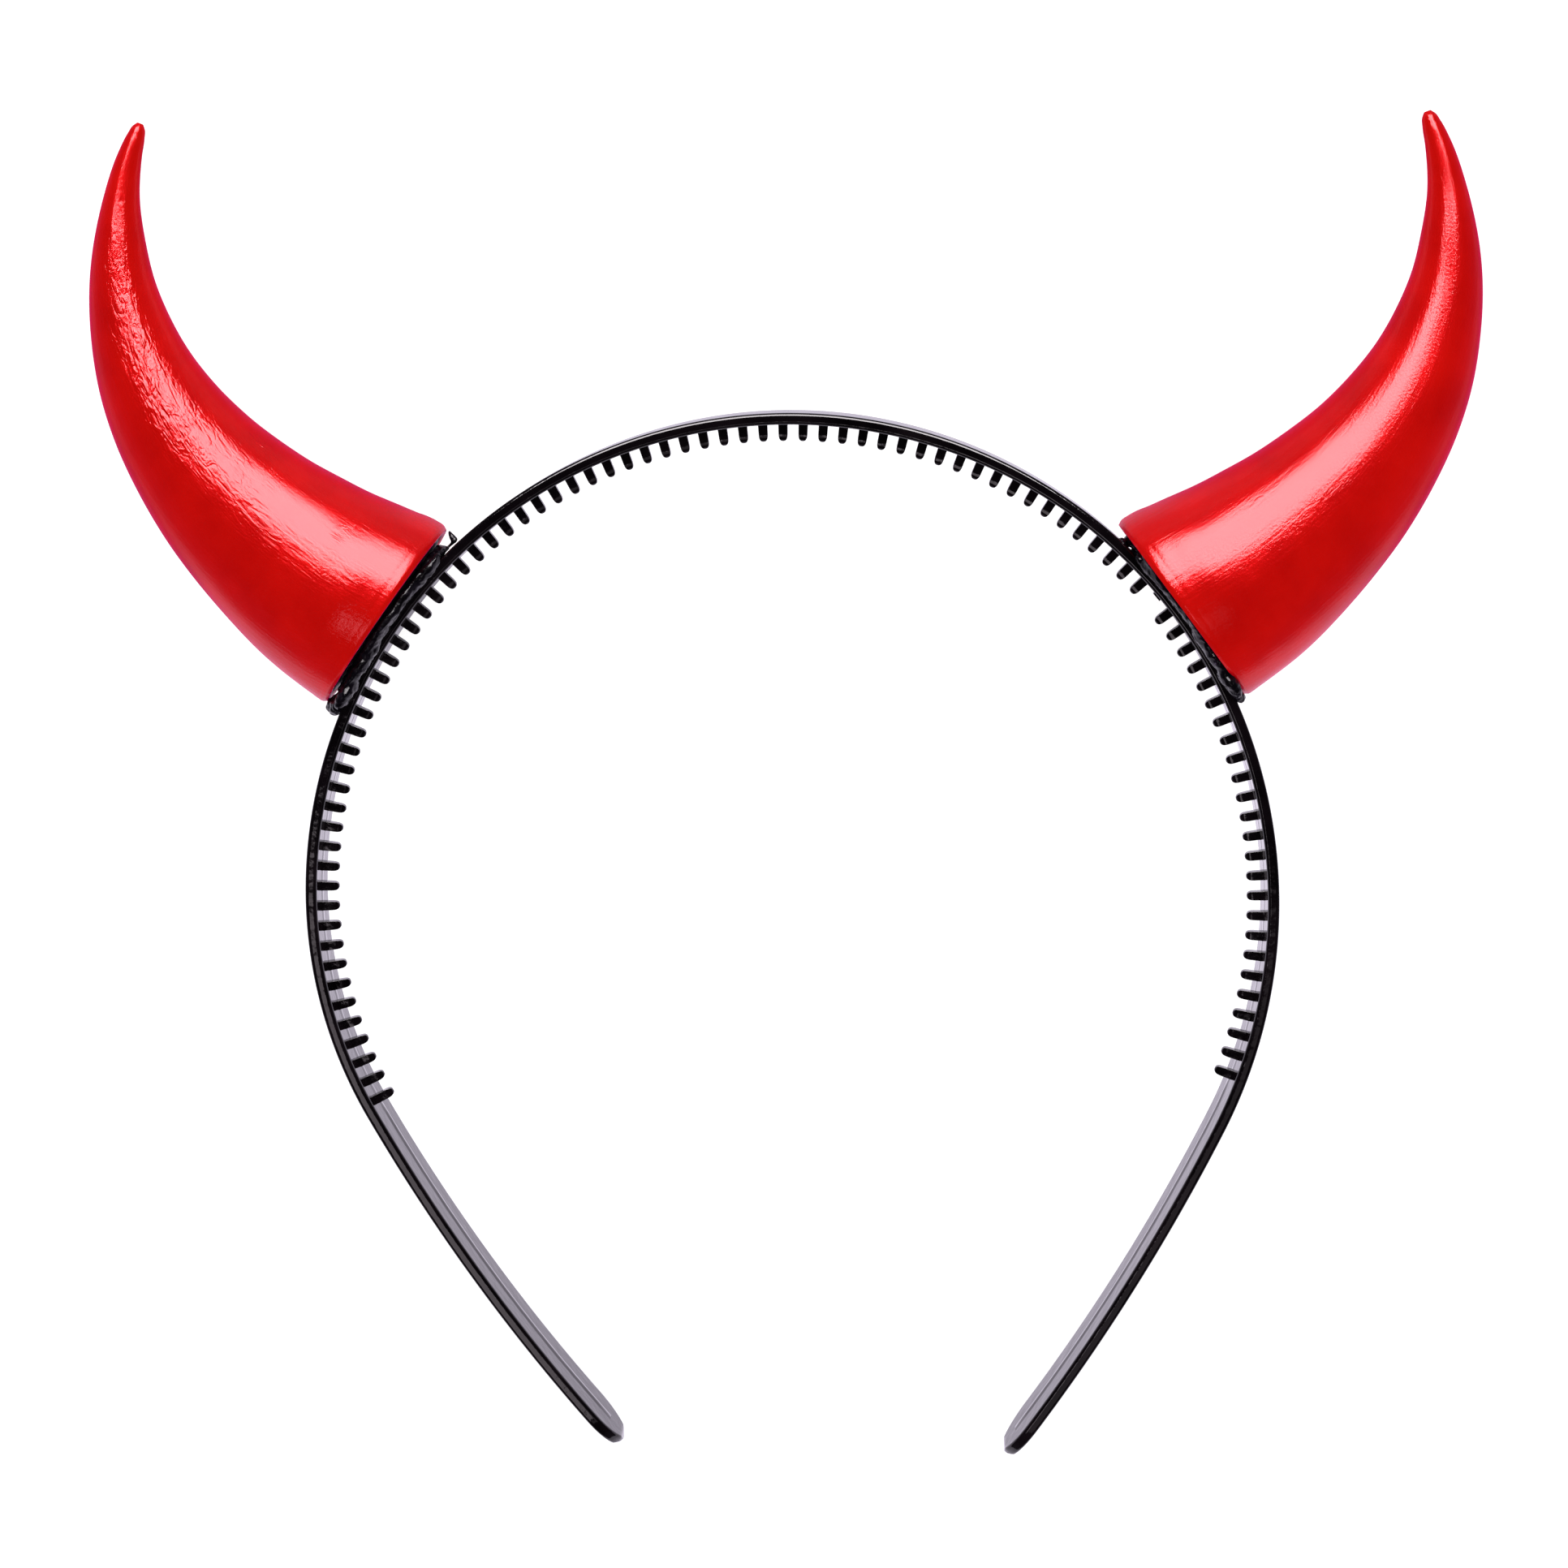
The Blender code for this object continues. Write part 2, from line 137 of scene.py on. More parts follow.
# angle of the mouth from the crown, distance, shift toward the crown, lean, change of girth
HORN_SEATS = {
    "left": (53.4, 65.94, -0.26, 0.65, -0.045),
    "right": (54.4, 64.85, -0.38, -0.8, 0.03),
}

PLUG_BOTTOM = 65.95
GLUE_TOP = PLUG_BOTTOM - 0.3

# The front of the horn draws in toward the mouth's rim, where a thin bead runs round
# distance from the rim, lift
RIM_ROWS = (
    (0.0, -0.50),
    (0.35, -0.43),
    (0.8, -0.48),
    (1.5, -0.47),
    (2.5, -0.37),
    (3.5, -0.24),
    (4.5, -0.12),
    (5.5, -0.04),
    (7.0, 0.0),
)
RIM_FALL = 0.7  # power of the fall from the front to the sides

# Lip of the horn: depth into the mouth, and how far in from the outer edge
LIP_ROWS = (
    (0.02, 0.25),
    (0.0, 0.6),
    (0.12, 0.95),
    (0.5, 1.15),
    (1.5, 1.2),
    (CAVITY_DEPTH, 1.2),
)

# Soft ripples all over the coat: their height, and how fast they change along and around
RIPPLE_HEIGHT = 0.030
RIPPLE_SCALE = (0.10, 0.28)
RIPPLE_LAYER = {"left": 3.0, "right": 9.0}
RELIEF_FADE = 2.0  # ripples and dents die out over this length at the rim and the tip
FLOW_LAYER = {"left": 0.0, "right": 40.0}  # keeps the two coats' patterns apart
LIP_GIRTH = 12.0  # millimetres of pattern for one radian round the lip
DEGREE_LENGTH = 0.23  # millimetres around the foot for one degree
DEGREE_SHRINK = 0.8  # part of it that is lost toward the tip

# Crinkled patches of the coat. part: of the way to the tip. turn: degrees round, 90 is the front,
# 0 the crown side. side, part, turn, spread in part, spread in turn, strength
CRINKLES = (
    ("left", 0.47, 78.0, 0.10, 26.0, 1.0),
    ("left", 0.62, 82.0, 0.10, 30.0, 0.9),
    ("left", 0.76, 88.0, 0.06, 34.0, 0.5),
    ("left", 0.33, 70.0, 0.07, 14.0, 0.6),
    ("left", 0.20, 82.0, 0.10, 22.0, 0.30),
    ("left", 0.07, 78.0, 0.05, 26.0, 0.12),
    ("left", 0.13, 56.0, 0.015, 9.0, 0.8),
    ("left", 0.36, 28.0, 0.025, 5.0, 0.8),
    ("right", 0.30, 82.0, 0.16, 12.0, 0.20),
    ("right", 0.10, 86.0, 0.06, 14.0, 0.10),
    ("right", 0.22, 52.0, 0.05, 6.0, 0.35),
)

# Single dents and bumps: side, part, turn, size, depth
DENTS = (
    ("left", 0.86, 80.0, 0.35, -0.05),
    ("left", 0.16, 120.0, 0.9, 0.05),
    ("left", 0.08, 118.0, 0.7, 0.05),
    ("left", 0.22, 128.0, 0.4, -0.04),
    ("right", 0.12, 92.0, 0.8, 0.05),
    ("right", 0.30, 112.0, 0.5, 0.05),
    ("right", 0.09, 130.0, 1.6, 0.07),
)

# Drops and smears of glue. out: from the hoop's centre. across: toward the crown.
# side, out, across, forward, size out, size across, size forward
GLUE_BLOBS = (
    ("both", 65.0, 0.0, 7.0, 0.7, 11.0, 1.5),
    ("both", 64.6, -6.0, 7.0, 0.9, 4.5, 1.8),
    ("both", 64.2, -10.5, 6.4, 1.0, 2.6, 2.0),
    ("left", 64.3, -13.0, 3.0, 1.1, 1.7, 2.2),
    ("left", 64.5, 9.0, 6.6, 0.8, 3.0, 1.5),
    ("right", 64.0, -12.6, 4.0, 0.9, 1.6, 2.0),
    ("right", 63.8, 12.2, 3.0, 0.6, 0.9, 2.0),
)
GLUE_VOXEL = 0.2
GLUE_EASE = 0.5
GLUE_EASE_ROUNDS = 3
# how fast the lumps change, and their height
GLUE_LUMPS = ((0.6, 0.20), (1.7, 0.13))

# Studio
FLOOR_SIZE = 8.0
FLOOR_GAP = 0.05  # the floor lies this far under the part
WORLD_SOFT = (1.1, 1.1, 1.11)
# Height of the direction, from the horizon at 0 to straight up at 1, and the room's colour there
ROOM_BANDS = (
    (0.0, (0.10, 0.09, 0.12)),
    (0.30, (0.06, 0.05, 0.07)),
    (0.45, (0.012, 0.010, 0.013)),
    (1.0, (0.0, 0.0, 0.0)),
)
FLOOR_PALE = (0.42, 0.42, 0.425)
FLOOR_GLOW = 0.78  # light that the floor gives off, which keeps its shadows faint
FLOOR_SHINE = (1.30, 1.20, 1.42)  # what gloss sees of the floor at its brightest
SHINE_FROM, SHINE_TO = -0.02, 0.12  # the shine fades toward the crown between these places
SHINE_FADE = ((0.0, 1.0), (0.5, 0.60), (1.0, 0.28))
# how far to either side, in metres, and how much of that shine the floor has there
FLOOR_SHINE_BANDS = ((0.0, 1.0), (0.105, 1.0), (0.15, 0.3), (0.35, 0.08))
# the floor under the horns lies in their shade: how far to either side, and how much of it
SHADE_BANDS = ((0.040, 0.0), (0.052, 1.0), (0.115, 1.0), (0.135, 0.0))
SHADE_FROM = (0.012, 0.028)  # how far toward the crown it begins and is full
SHADE_TO = (0.115, 0.135)
SHADE_DEPTH = 0.85
# name, place, size, radiance, colour, shows on matt surfaces, shows in gloss
LIGHTS = (
    ("softbox", (0.0, 1.30, 1.52), (1.88, 1.48), 27.0, (1.0, 0.94, 0.97), False, True),
    ("ceiling_left", (-0.36, -0.78, 1.85), (0.42, 0.6), 3.2, (1.0, 0.88, 0.96), False, True),
    ("ceiling_right", (0.16, -0.85, 1.85), (0.6, 0.6), 0.6, (1.0, 0.88, 0.96), False, True),
    ("backdrop", (0.0, 2.0, 0.17), (4.0, 0.34), 0.6, (1.0, 0.92, 0.97), False, True),
    ("crown_panel", (0.0, 0.60, 0.16), (1.2, 0.28), 2.2, (1.0, 0.90, 0.97), True, False),
)

# Camera: a long lens at the photo's angle to the hoop
CAMERA_PLACE = (13.765, 84.266, 459.418)
CAMERA_TURN = (-8.589, 1.554, -1.5)
CAMERA_LENS = 79.45
CAMERA_SENSOR = 36.0


def at(x, y, z):
    return Vector((x * MM, y * MM, z * MM))


def hoop_pose():
    """Where the hoop's own frame lies, read from the solid's front edge and its outer bounds."""
    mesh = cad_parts["headband"].data
    # most of the front edge is flat, so its slope is the one that halves these faces by area
    slopes = sorted((math.atan2(-face.normal.y, face.normal.z), face.area)
                    for face in mesh.polygons if face.normal.z > FACING_FRONT)
    areas = np.cumsum([area for _, area in slopes])
    slope = slopes[int(np.searchsorted(areas, areas[-1] / 2))][0]
    turn = Matrix.Rotation(slope, 4, "X")
    back = turn.inverted()
    points = np.array([back @ vertex.co for vertex in mesh.vertices])
    low, high = points.min(axis=0), points.max(axis=0)
    centre = (low[0] + HOOP_RADIUS * MM, high[1] - HOOP_RADIUS * MM, high[2] - HOOP_WIDTH / 2 * MM)
    return turn @ Matrix.Translation(centre)


def hoop_at(s):
    """Point on the outer line and its outward direction. s runs from the crown, left is minus."""
    arcs = ARM_ARCS["left" if s < 0 else "right"]
    side = -1.0 if s < 0 else 1.0
    rest = abs(s)
    x, y, turn = 0.0, arcs[0][0], 0.0
    for index, (radius, length) in enumerate(arcs):
        run = min(rest, length) if index < len(arcs) - 1 else rest
        turned = turn + run / radius
        x += radius * (math.sin(turned) - math.sin(turn))
        y += radius * (math.cos(turned) - math.cos(turn))
        turn = turned
        rest -= run
        if rest <= 0:
            break
    return (side * x, y), (side * math.sin(turn), math.cos(turn))


def on_hoop(s, out, forward):
    (x, y), (nx, ny) = hoop_at(s)
    return at(x + nx * out, y + ny * out, forward)


def arm_length(side):
    return sum(length for radius, length in ARM_ARCS[side])


def tooth_place(index):
    count = index - TOOTH_CENTRE
    return TOOTH_PITCH * count + TOOTH_SPREAD * count ** 3


def seat_matrix(side, distance):
    """Frame of a horn's seat: X out of the hoop, Y toward the crown on the right, Z forward."""
    angle, _, shift, _, _ = HORN_SEATS[side]
    sign = -1.0 if side == "left" else 1.0
    turn = Matrix.Rotation(math.radians(90 - sign * angle), 4, "Z")
    return turn @ Matrix.Translation(at(distance, sign * shift, 0.0))


def add_loft(bm, rings):
    """One closed body through rings of equal counts of points."""
    rows = [[bm.verts.new(point) for point in ring] for ring in rings]
    count = len(rows[0])
    for near, far in zip(rows, rows[1:]):
        for i in range(count):
            j = (i + 1) % count
            bm.faces.new((near[i], near[j], far[j], far[i]))
    bm.faces.new(rows[0])
    bm.faces.new(rows[-1])


def add_object(name, data):
    made = bpy.data.objects.new(name, data)
    bpy.context.scene.collection.objects.link(made)
    return made


def finish_piece(name, bm, place, material, slot, *nodes):
    """Makes the piece, lays it in the scene, has it ride on the body and hides the solid's nodes that it
    takes the place of.
    """
    bmesh.ops.recalc_face_normals(bm, faces=bm.faces)
    bmesh.ops.transform(bm, matrix=place, verts=bm.verts)
    mesh = bpy.data.meshes.new(name)
    bm.to_mesh(mesh)
    bm.free()
    mesh.shade_smooth()
    mesh.set_sharp_from_angle(angle=math.radians(SHARP_ANGLE))
    mesh.materials.append(material)
    piece = add_object(name, mesh)
    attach(piece, "root")
    if nodes:
        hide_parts(*nodes)
    return piece


def set_stops(ramp, stops):
    """Gives a colour ramp its stops: place, then a colour or one value for all three channels."""
    elements = ramp.color_ramp.elements
    while len(elements) < len(stops):
        elements.new(0.5)
    for element, (place, colour) in zip(elements, stops):
        red, green, blue = colour if isinstance(colour, tuple) else (colour,) * 3
        element.position = place
        element.color = (red, green, blue, 1.0)


class Shader:
    """A Principled material with short helpers for its nodes."""

    def __init__(self, name):
        self.material = bpy.data.materials.new(name)
        self.material.use_nodes = True
        self.tree = self.material.node_tree
        self.main = self.tree.nodes["Principled BSDF"]

    def set(self, **values):
        for key, value in values.items():
            self.main.inputs[key.replace("_", " ")].default_value = value

    def node(self, kind, **settings):
        made = self.tree.nodes.new(kind)
        for key, value in settings.items():
            setattr(made, key, value)
        return made

    def link(self, source, target):
        self.tree.links.new(source, target)

    def math(self, operation, *values):
        made = self.node("ShaderNodeMath", operation=operation)
        for value, target in zip(values, made.inputs):
            if isinstance(value, float):
                target.default_value = value
            else:
                self.link(value, target)
        return made.outputs["Value"]

    def crease(self, value):
        """Turns a noise into sharp valleys where it crosses its middle."""
        return self.math("ABSOLUTE", self.math("SUBTRACT", value, 0.5))

    def coordinates(self, scale, attribute=None, turn=0.0):
        """Object coordinates, or a named attribute of the mesh, turned and scaled on each axis."""
        mapping = self.node("ShaderNodeMapping")
        mapping.inputs["Rotation"].default_value = (0.0, 0.0, math.radians(turn))
        mapping.inputs["Scale"].default_value = scale
        if attribute:
            source = self.node("ShaderNodeAttribute", attribute_name=attribute)
            self.link(source.outputs["Vector"], mapping.inputs["Vector"])
        else:
            source = self.node("ShaderNodeTexCoord")
            self.link(source.outputs["Object"], mapping.inputs["Vector"])
        return mapping.outputs["Vector"]

    def noise(self, vector, scale, detail=3.0, roughness=0.5, distortion=0.0):
        made = self.node("ShaderNodeTexNoise")
        made.inputs["Scale"].default_value = scale
        made.inputs["Detail"].default_value = detail
        made.inputs["Roughness"].default_value = roughness
        made.inputs["Distortion"].default_value = distortion
        self.link(vector, made.inputs["Vector"])
        return made.outputs["Fac"]

    def ramp(self, value, *stops):
        made = self.node("ShaderNodeValToRGB")
        set_stops(made, stops)
        self.link(value, made.inputs["Fac"])
        return made.outputs["Color"]

    def bump(self, height, distance, strength=1.0, below=None):
        made = self.node("ShaderNodeBump")
        made.inputs["Strength"].default_value = strength
        made.inputs["Distance"].default_value = distance * MM
        self.link(height, made.inputs["Height"])
        if below:
            self.link(below, made.inputs["Normal"])
        return made.outputs["Normal"]

    def ease(self, value, start, end):
        """0 at start and 1 at end, held there beyond them."""
        made = self.node("ShaderNodeMapRange")
        made.inputs["From Min"].default_value = start
        made.inputs["From Max"].default_value = end
        self.link(value, made.inputs["Value"])
        return made.outputs["Result"]

    def grey(self, value, low, high):
        """Maps a value from 0 to 1 onto low to high."""
        made = self.node("ShaderNodeMapRange")
        made.inputs["To Min"].default_value = low
        made.inputs["To Max"].default_value = high
        self.link(value, made.inputs["Value"])
        return made.outputs["Result"]

    def shape(self, normal, coat=True):
        self.link(normal, self.main.inputs["Normal"])
        if coat:
            self.link(normal, self.main.inputs["Coat Normal"])


def black_plastic():
    """Moulded black plastic: a high gloss with faint flow lines and handling marks."""
    shader = Shader("black_plastic")
    shader.set(IOR=1.36, Metallic=0.0)
    place = shader.coordinates(PER_METRE)
    cloud = shader.noise(place, 0.11, detail=4.0, roughness=0.6)
    colour = shader.ramp(cloud, (0.35, (0.0012, 0.0008, 0.0012)), (0.75, (0.0060, 0.0038, 0.0052)))
    shader.link(colour, shader.main.inputs["Base Color"])
    rough = shader.grey(shader.noise(place, 0.35, detail=5.0, roughness=0.6), 0.03, 0.12)
    shader.link(rough, shader.main.inputs["Roughness"])
    waves = shader.bump(shader.noise(place, 0.5, detail=2.0), 0.10, 0.5)
    shader.shape(shader.bump(shader.noise(place, 4.0, detail=3.0), 0.006, 0.6, below=waves), coat=False)
    return shader.material


def red_plastic():
    """Red coat on a thin shell: deep gloss, fine pits, lengthwise streaks and crinkled patches."""
    shader = Shader("red_plastic")
    shader.set(IOR=1.5, Metallic=0.12, Coat_Weight=0.33, Coat_Roughness=0.10, Coat_IOR=1.5)
    shader.set(Specular_IOR_Level=0.05, Specular_Tint=(1.0, 0.10, 0.40, 1.0))
    shader.set(Sheen_Weight=0.7, Sheen_Roughness=0.35, Sheen_Tint=(1.0, 0.0, 0.26, 1.0))
    flow = shader.coordinates((1.0, 1.0, 1.0), "flow")
    cloud = shader.noise(flow, 0.12, detail=4.0, roughness=0.55)
    colour = shader.ramp(cloud, (0.3, (0.44, 0.0020, 0.0003)), (0.7, (0.56, 0.0036, 0.0010)))
    shader.link(colour, shader.main.inputs["Base Color"])
    rough = shader.grey(shader.noise(flow, 0.4, detail=4.0), 0.18, 0.30)
    shader.link(rough, shader.main.inputs["Roughness"])
    streaks = shader.coordinates((0.10, 1.8, 1.0), "flow")
    lines = shader.bump(shader.noise(streaks, 1.0, detail=3.0, roughness=0.6), 0.07, 0.5)
    pits = shader.bump(shader.noise(flow, 2.8, detail=3.0, roughness=0.6), 0.045, 0.6, below=lines)
    # two sets of creases that cross at a slant, only where the layer says so
    patch = shader.node("ShaderNodeAttribute", attribute_name="crinkle").outputs["Fac"]
    across = shader.coordinates((0.55, 1.5, 1.0), "flow", turn=28.0)
    along = shader.coordinates((0.25, 1.3, 1.0), "flow", turn=-12.0)
    creases = shader.crease(shader.noise(across, 0.6, detail=2.0, distortion=1.0))
    strokes = shader.crease(shader.noise(along, 0.9, detail=1.5, distortion=0.4))
    height = shader.math("MULTIPLY", shader.math("ADD", creases, strokes), patch)
    shader.shape(shader.bump(height, 0.30, 0.9, below=pits))
    return shader.material


def dark_plug():
    """Dull black plug with a slightly uneven face."""
    shader = Shader("dark_plug")
    shader.set(IOR=1.5, Metallic=0.0)
    place = shader.coordinates(PER_METRE)
    cloud = shader.noise(place, 0.4, detail=4.0)
    colour = shader.ramp(cloud, (0.3, (0.006, 0.005, 0.006)), (0.7, (0.016, 0.013, 0.015)))
    shader.link(colour, shader.main.inputs["Base Color"])
    shader.link(shader.grey(cloud, 0.28, 0.5), shader.main.inputs["Roughness"])
    shader.shape(shader.bump(shader.noise(place, 1.2, detail=3.0), 0.05, 0.5), coat=False)
    return shader.material


def hot_glue():
    """Dark cloudy glue with a wet surface and paler streaks inside."""
    shader = Shader("hot_glue")
    shader.set(IOR=1.33, Metallic=0.0, Specular_IOR_Level=0.3)
    place = shader.coordinates(PER_METRE)
    cloud = shader.noise(place, 0.45, detail=4.0, roughness=0.6, distortion=1.2)
    colour = shader.ramp(
        cloud,
        (0.44, (0.0015, 0.001, 0.002)),
        (0.66, (0.006, 0.004, 0.008)),
        (0.80, (0.10, 0.07, 0.12)),
    )
    shader.link(colour, shader.main.inputs["Base Color"])
    shader.link(shader.grey(cloud, 0.12, 0.3), shader.main.inputs["Roughness"])
    shader.shape(shader.bump(shader.noise(place, 0.9, detail=3.0), 0.25, 0.6), coat=False)
    return shader.material


def rounded_section(half_a, half_b, edge, steps):
    """Outline of a bar with round edges, with a point on each flat just before and after an edge."""
    points = []
    for corner, (side, end) in enumerate(((1, 1), (-1, 1), (-1, -1), (1, -1))):
        arc = []
        for step in range(steps + 1):
            turn = math.radians(90 * (corner + step / steps))
            arc.append((side * (half_a - edge) + edge * math.cos(turn),
                        end * (half_b - edge) + edge * math.sin(turn)))
        guards = []
        for (a, b), quarter, way in ((arc[0], corner, -1), (arc[-1], corner + 1, 1)):
            turn = math.radians(90 * quarter)
            step = way * EDGE_GUARD * edge
            guards.append((a - math.sin(turn) * step, b + math.cos(turn) * step))
        points += [guards[0]] + arc + [guards[1]]
    return points


def strip_ring(s, half_width, thickness):
    """Section of the hoop at s: a flat bar with round edges."""
    edge = min(HOOP_EDGE, half_width * EDGE_SHARE, thickness * EDGE_SHARE)
    section = rounded_section(thickness / 2, half_width, edge, EDGE_STEPS)
    return [on_hoop(s, out - HOOP_THICKNESS / 2, forward) for out, forward in section]


def hoop_rings():
    start, end = -arm_length("left"), arm_length("right")
    body = np.linspace(start + TONGUE_LENGTH, end - TONGUE_LENGTH, round((end - start) / HOOP_STEP))
    parts = [1.0 - math.cos(math.radians(turn)) for turn in END_TURNS]
    left = [start + TONGUE_LENGTH * part for part in parts]
    right = [end - TONGUE_LENGTH * part for part in reversed(parts)]
    rings = []
    for s in left + list(body) + right:
        rest = arm_length("left" if s < 0 else "right") - abs(s)
        part = max(0.0, 1.0 - rest / TONGUE_LENGTH)
        round_off = math.sqrt(1.0 - part * part)
        thin = min(1.0, END_THIN + rest / END_ROUND)
        rings.append(strip_ring(s, HOOP_WIDTH / 2 * round_off, HOOP_THICKNESS * thin))
    return rings


def tooth_rings(s, reach=TOOTH_ROWS[-1][0]):
    """Rounded sections of a tooth from its root up, cut short at reach above the inner face."""
    (x, y), (nx, ny) = hoop_at(s)
    rings = []
    for height, thickness, depth in TOOTH_ROWS:
        out = -HOOP_THICKNESS - min(height, reach)
        edge = thickness / 2 * (1.0 - TOOTH_FLAT)
        section = rounded_section(thickness / 2, depth / 2, edge, TOOTH_CORNER_STEPS)
        rings.append([at(x + nx * out + ny * along, y + ny * out - nx * along, forward)
                      for along, forward in section])
    return rings


def rib_rings(start, end):
    """The rib along the inner face between two distances from the crown."""
    rings = []
    for s in np.linspace(start, end, max(2, round(abs(end - start) / RIB_STEP))):
        bare = abs(s) - abs(tooth_place(0 if s < 0 else TOOTH_COUNT - 1)) - TOOTH_PITCH / 2
        height = RIB_HEIGHT if bare > 0 else RIB_FAINT
        rest = min(abs(s - start), abs(s - end))
        height *= min(1.0, RIB_START + rest / RIB_FADE)
        ring = [on_hoop(s, RIB_ROOT - HOOP_THICKNESS, RIB_HALF_WIDTH)]
        for i in range(RIB_STEPS + 1):
            turn = math.pi * i / RIB_STEPS
            swell = height * (1.0 - math.cos(2 * turn)) / 2
            ring.append(on_hoop(s, -HOOP_THICKNESS - swell, RIB_HALF_WIDTH * (1 - 2 * i / RIB_STEPS)))
        ring.append(on_hoop(s, RIB_ROOT - HOOP_THICKNESS, -RIB_HALF_WIDTH))
        rings.append(ring)
    return rings


def make_headband(place, material):
    bm = bmesh.new()
    add_loft(bm, hoop_rings())
    for index in range(TOOTH_COUNT):
        if index == TOOTH_BROKEN:
            add_loft(bm, tooth_rings(tooth_place(index), STUB_HEIGHT))
        else:
            add_loft(bm, tooth_rings(tooth_place(index)))
    for side, sign in (("left", -1.0), ("right", 1.0)):
        add_loft(bm, rib_rings(sign * RIB_FAINT_FROM, sign * (arm_length(side) - RIB_END)))
    return finish_piece("comb_hoop", bm, place, material, "black_plastic", "headband")


def smooth_rows(rows, places):
    """Values of the table's columns at places along it, on a smooth curve through its rows."""
    table = np.array(rows)
    steps = np.hypot(*np.diff(table[:, :2], axis=0).T)
    reach = np.concatenate([[0.0], np.cumsum(steps)])
    slopes = np.gradient(table, reach, axis=0)
    index = np.clip(np.searchsorted(reach, places, side="right") - 1, 0, len(reach) - 2)
    length = reach[index + 1] - reach[index]
    t = ((places - reach[index]) / length)[:, None]
    length = length[:, None]
    return (
        (2 * t ** 3 - 3 * t ** 2 + 1) * table[index]
        + (t ** 3 - 2 * t ** 2 + t) * length * slopes[index]
        + (3 * t ** 2 - 2 * t ** 3) * table[index + 1]
        + (t ** 3 - t ** 2) * length * slopes[index + 1]
    ), reach[-1]


def horn_stations(total):
    """Distances along the horn of its rings, closer together at the lip and the tip."""
    lip = np.linspace(0.0, LIP_REACH, LIP_RINGS, endpoint=False)
    body = np.linspace(LIP_REACH, total - TIP_REACH, HORN_RINGS, endpoint=False)
    tip = np.linspace(total - TIP_REACH, total - TIP_END, TIP_RINGS)
    return np.concatenate([lip, body, tip])


def bell(value, middle, spread):
    return math.exp(-((value - middle) / spread) ** 2)


def horn_relief(side, reach, turn, around):
    """Height of the coat's dents and ripples, in millimetres, at one point."""
    part = reach / HORN_LENGTH
    degrees = math.degrees(turn)
    along, round_scale = RIPPLE_SCALE
    height = RIPPLE_HEIGHT * noise.noise((reach * along, around * round_scale, RIPPLE_LAYER[side]))
    for own, at_part, at_turn, size, depth in DENTS:
        if own == side:
            away = math.hypot((part - at_part) * HORN_LENGTH, (degrees - at_turn) * around_step(reach))
            height += depth * math.exp(-(away / size) ** 2)
    return height


def crinkled(side, reach, turn):
    """How crinkled the coat is at one point, from 0 to about 1."""
    total = 0.0
    for own, at_part, at_turn, long, wide, strength in CRINKLES:
        if own == side:
            mask = bell(reach / HORN_LENGTH, at_part, long) * bell(math.degrees(turn), at_turn, wide)
            total += strength * mask
    return total


def rim_lift(reach, turn):
    """How far the surface stands proud near the rim, in millimetres, most at the front."""
    places, lifts = zip(*RIM_ROWS)
    return float(np.interp(reach, places, lifts)) * max(0.0, math.sin(turn)) ** RIM_FALL


def around_step(reach):
    """Millimetres around the horn for one degree, near enough for placing marks."""
    return DEGREE_LENGTH * (1.0 - DEGREE_SHRINK * reach / HORN_LENGTH)


